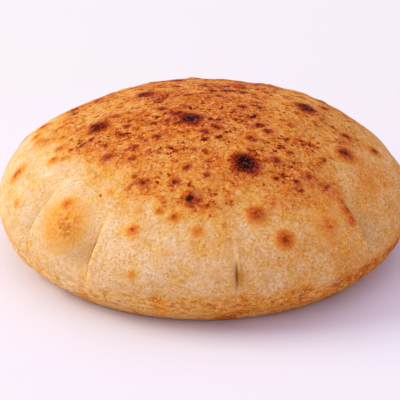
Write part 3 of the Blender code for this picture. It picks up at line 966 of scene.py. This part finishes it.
def nicks_and_bran(tree, skin, seen, pits, colour):
    """The nicks and pits of the rim, and specks of bran everywhere."""
    nicked = times(tree, rise(tree, seen.dashes, 0.545, 0.63, 0.60), skin.rim)
    colour = blend(tree, nicked, colour, NICK_BROWN)
    colour = blend(tree, times(tree, pits, 0.90), colour, PIT_BROWN)
    bran = times(tree, speckle(tree, seen.place, BRAN_SIZE, 0.024, 0.14), 0.6)
    return blend(tree, bran, colour, BRAN_BROWN)


def pleat_tones(tree, skin, colour):
    """Painted shade in the pleats' hollows, a painted highlight on their creases, golden crust beside the
    pinched ones and painted shade along their bottoms.
    """
    colour = blend(tree, times(tree, skin.hollow, 0.62), colour, HOLLOW_SHADE)
    colour = blend(tree, times(tree, skin.crease, 0.40), colour, CREASE_HIGHLIGHT)
    colour = blend(tree, times(tree, skin.glow, 0.90), colour, GLOW_GOLD)
    return blend(tree, skin.slit, colour, SLIT_SHADE)


def tinges(tree, skin, seen, heat, colour):
    """The golden rim, and slow yellow and ashy tinges over all."""
    colour = blend(tree, skin.golden, colour, RIM_YELLOW, way="MULTIPLY")
    tinge = mottle(tree, seen.place, TINGE_SIZE, 4.0, 0.66, 0.8)
    colour = blend(tree, rise(tree, tinge, 0.50, 0.62), colour, TINGE_YELLOW, way="MULTIPLY")
    ashy = times(tree, rise(tree, tinge, 0.50, 0.38), rise(tree, heat, 0.84, 0.62))
    return blend(tree, ashy, colour, TINGE_ASH, way="SCREEN")


def skin_relief(tree, skin, seen, clots, dashes, pits):
    """The bump of the skin, too fine for the mesh."""
    lumps = add_share(tree, seen.dust, 0.8, seen.grit)
    lumps = add_share(tree, times(tree, clots, skin.toasted), 0.50, lumps)
    lumps = add_share(tree, times(tree, seen.swirl, skin.toasted), 1.30, lumps)
    lumps = add_share(tree, dashes, -1.0, lumps)
    lumps = add_share(tree, pits, -0.06, lumps)
    lumps = add_share(tree, times(tree, seen.grit, skin.toasted), 0.60, lumps)
    lumps = add_share(tree, times(tree, seen.grit, skin.char), 0.30, lumps)
    inputs = {"Height": lumps, "Strength": 1.0, "Distance": BUMP_HEIGHT}
    return wire(tree, "ShaderNodeBump", inputs).outputs[0]


def crust_material():
    """The finish of the whole loaf."""
    material = bpy.data.materials.new("baked_crust")
    material.use_nodes = True
    tree = material.node_tree
    skin = read_skin(tree)
    seen = crust_patterns(tree)
    dashes = times(tree, swing(tree, seen.dashes, 0.80), skin.rim)
    pits = times(tree, seen.pits, skin.rim)

    stains = mottle(tree, seen.bent, STAIN_SIZE, 4.0, 0.70)
    stains = calc(tree, "ADD", stains, swing(tree, seen.clouds, 0.16))
    clots = dark_clots(tree, skin, seen, stains)
    heat = add_share(tree, toasted_heat(tree, seen, stains, clots), skin.toasting, skin.bake)
    heat = add_share(tree, pale_heat(tree, skin, seen), skin.pale, heat)
    heat = toasted_specks(tree, skin, seen, heat)
    heat = scorching(tree, skin, seen, heat)
    heat = calc(tree, "ADD", dashes, heat)
    heat = gritty_heat(tree, skin, seen, heat)

    colour = ramp(tree, heat, BROWNING)
    colour = wall_veils(tree, skin, seen, heat, colour)
    colour = toasted_lights(tree, skin, seen, heat, colour)
    colour = wall_dusting(tree, skin, seen, heat, colour)
    colour = nicks_and_bran(tree, skin, seen, pits, colour)
    colour = pleat_tones(tree, skin, colour)
    colour = tinges(tree, skin, seen, heat, colour)

    shader = tree.nodes["Principled BSDF"]
    dryness = {"Value": heat, "From Min": 0.2, "From Max": 0.9, "To Min": 0.80, "To Max": 0.50}
    roughness = wire(tree, "ShaderNodeMapRange", dryness).outputs[0]
    tree.links.new(colour, shader.inputs["Base Color"])
    tree.links.new(roughness, shader.inputs["Roughness"])
    tree.links.new(skin_relief(tree, skin, seen, clots, dashes, pits), shader.inputs["Normal"])
    shader.inputs["Specular IOR Level"].default_value = 0.02
    return material


body_mesh.materials.append(crust_material())
loaf = bpy.data.objects.new("loaf_crust", body_mesh)
bpy.context.scene.collection.objects.link(loaf)
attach(loaf, "root")
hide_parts("baladi_bread")


# The floor: a plain pale sheet that runs on past every view, a little more
# lavender round the loaf, a painted cool tint for the loaf's shade.
FLOOR_HALF = 6.0
FLOOR_PALE = paint(229, 221, 225)
FLOOR_SHADE_TINT = paint(230, 222, 235)
SHADE_TINT_BAND = (0.20, 0.07)  # distances from the middle where it starts and is full

floor_mesh = bmesh.new()
bmesh.ops.create_grid(floor_mesh, x_segments=1, y_segments=1, size=FLOOR_HALF)
floor_data = bpy.data.meshes.new("pale_floor")
floor_mesh.to_mesh(floor_data)
floor_mesh.free()
floor_finish = bpy.data.materials.new("pale_floor")
floor_finish.use_nodes = True
floor_tree = floor_finish.node_tree
floor_shader = floor_tree.nodes["Principled BSDF"]
floor_place = wire(floor_tree, "ShaderNodeTexCoord").outputs["Object"]
floor_gap = wire(floor_tree, "ShaderNodeVectorMath", {0: floor_place}, operation="LENGTH").outputs["Value"]
# painted cool tint of the loaf's shade on the floor
shade_tint = rise(floor_tree, floor_gap, *SHADE_TINT_BAND)
floor_colour = blend(floor_tree, shade_tint, FLOOR_PALE, FLOOR_SHADE_TINT)
floor_tree.links.new(floor_colour, floor_shader.inputs["Base Color"])
floor_shader.inputs["Roughness"].default_value = 0.9
floor_data.materials.append(floor_finish)
floor = bpy.data.objects.new("pale_floor", floor_data)
bpy.context.scene.collection.objects.link(floor)


# The studio: one large soft light from the left, a weak one overhead and one
# low in front, and a pale room that fills the shade.
def soft_light(name, place, aim, size, watts, colour):
    """A square area light turned towards a point."""
    lamp = bpy.data.lights.new(name, "AREA")
    lamp.size = size
    lamp.energy = watts
    lamp.color = colour
    holder = bpy.data.objects.new(name, lamp)
    holder.location = place
    holder.rotation_euler = (Vector(aim) - Vector(place)).to_track_quat("-Z", "Y").to_euler()
    bpy.context.scene.collection.objects.link(holder)


soft_light(
    "key", place=(-3.14, 0.27, 2.12), aim=(0.0, 0.0, 0.0), size=2.4, watts=119.5, colour=(0.92, 1.0, 0.77)
)
soft_light(
    "fill", place=(-1.0, -2.9, 0.50), aim=(0.0, 0.0, 0.02), size=1.6, watts=5.5, colour=(1.0, 0.97, 0.86)
)
soft_light(
    "top", place=(0.0, 0.30, 3.0), aim=(0.0, 0.0, 0.02), size=2.4, watts=14.0, colour=(1.0, 0.62, 0.30)
)

room = bpy.data.worlds.new("pale_room")
room.use_nodes = True
room_air = room.node_tree.nodes["Background"]
room_air.inputs["Color"].default_value = (0.78, 0.80, 1.0, 1.0)
room_air.inputs["Strength"].default_value = 0.885
bpy.context.scene.world = room
bpy.context.scene.view_settings.view_transform = "Standard"


# The camera: a long lens that looks down at 24 degrees, with the loaf a little
# right of the middle and above it.
CAMERA_DISTANCE = 0.7254
CAMERA_ELEVATION = 24.0   # degrees
CAMERA_LENS = 164.6       # millimetres, as is the sensor
CAMERA_SENSOR = 36.0
AIM_LEFT = 0.0016         # how far left of and below the loaf's middle it looks
AIM_BELOW = 0.0019

tilt = math.radians(CAMERA_ELEVATION)
back = Vector((0.0, -math.cos(tilt), math.sin(tilt)))
up = Vector((0.0, math.sin(tilt), math.cos(tilt)))
middle = Vector((0.0, 0.0, waist_height))
camera_data = bpy.data.cameras.new("camera")
camera_data.lens = CAMERA_LENS
camera_data.sensor_width = CAMERA_SENSOR
camera = bpy.data.objects.new("camera", camera_data)
camera.location = middle + back * CAMERA_DISTANCE
aim = middle - up * AIM_BELOW - Vector((AIM_LEFT, 0.0, 0.0))
camera.rotation_euler = (aim - camera.location).to_track_quat("-Z", "Y").to_euler()
bpy.context.scene.collection.objects.link(camera)
bpy.context.scene.camera = camera
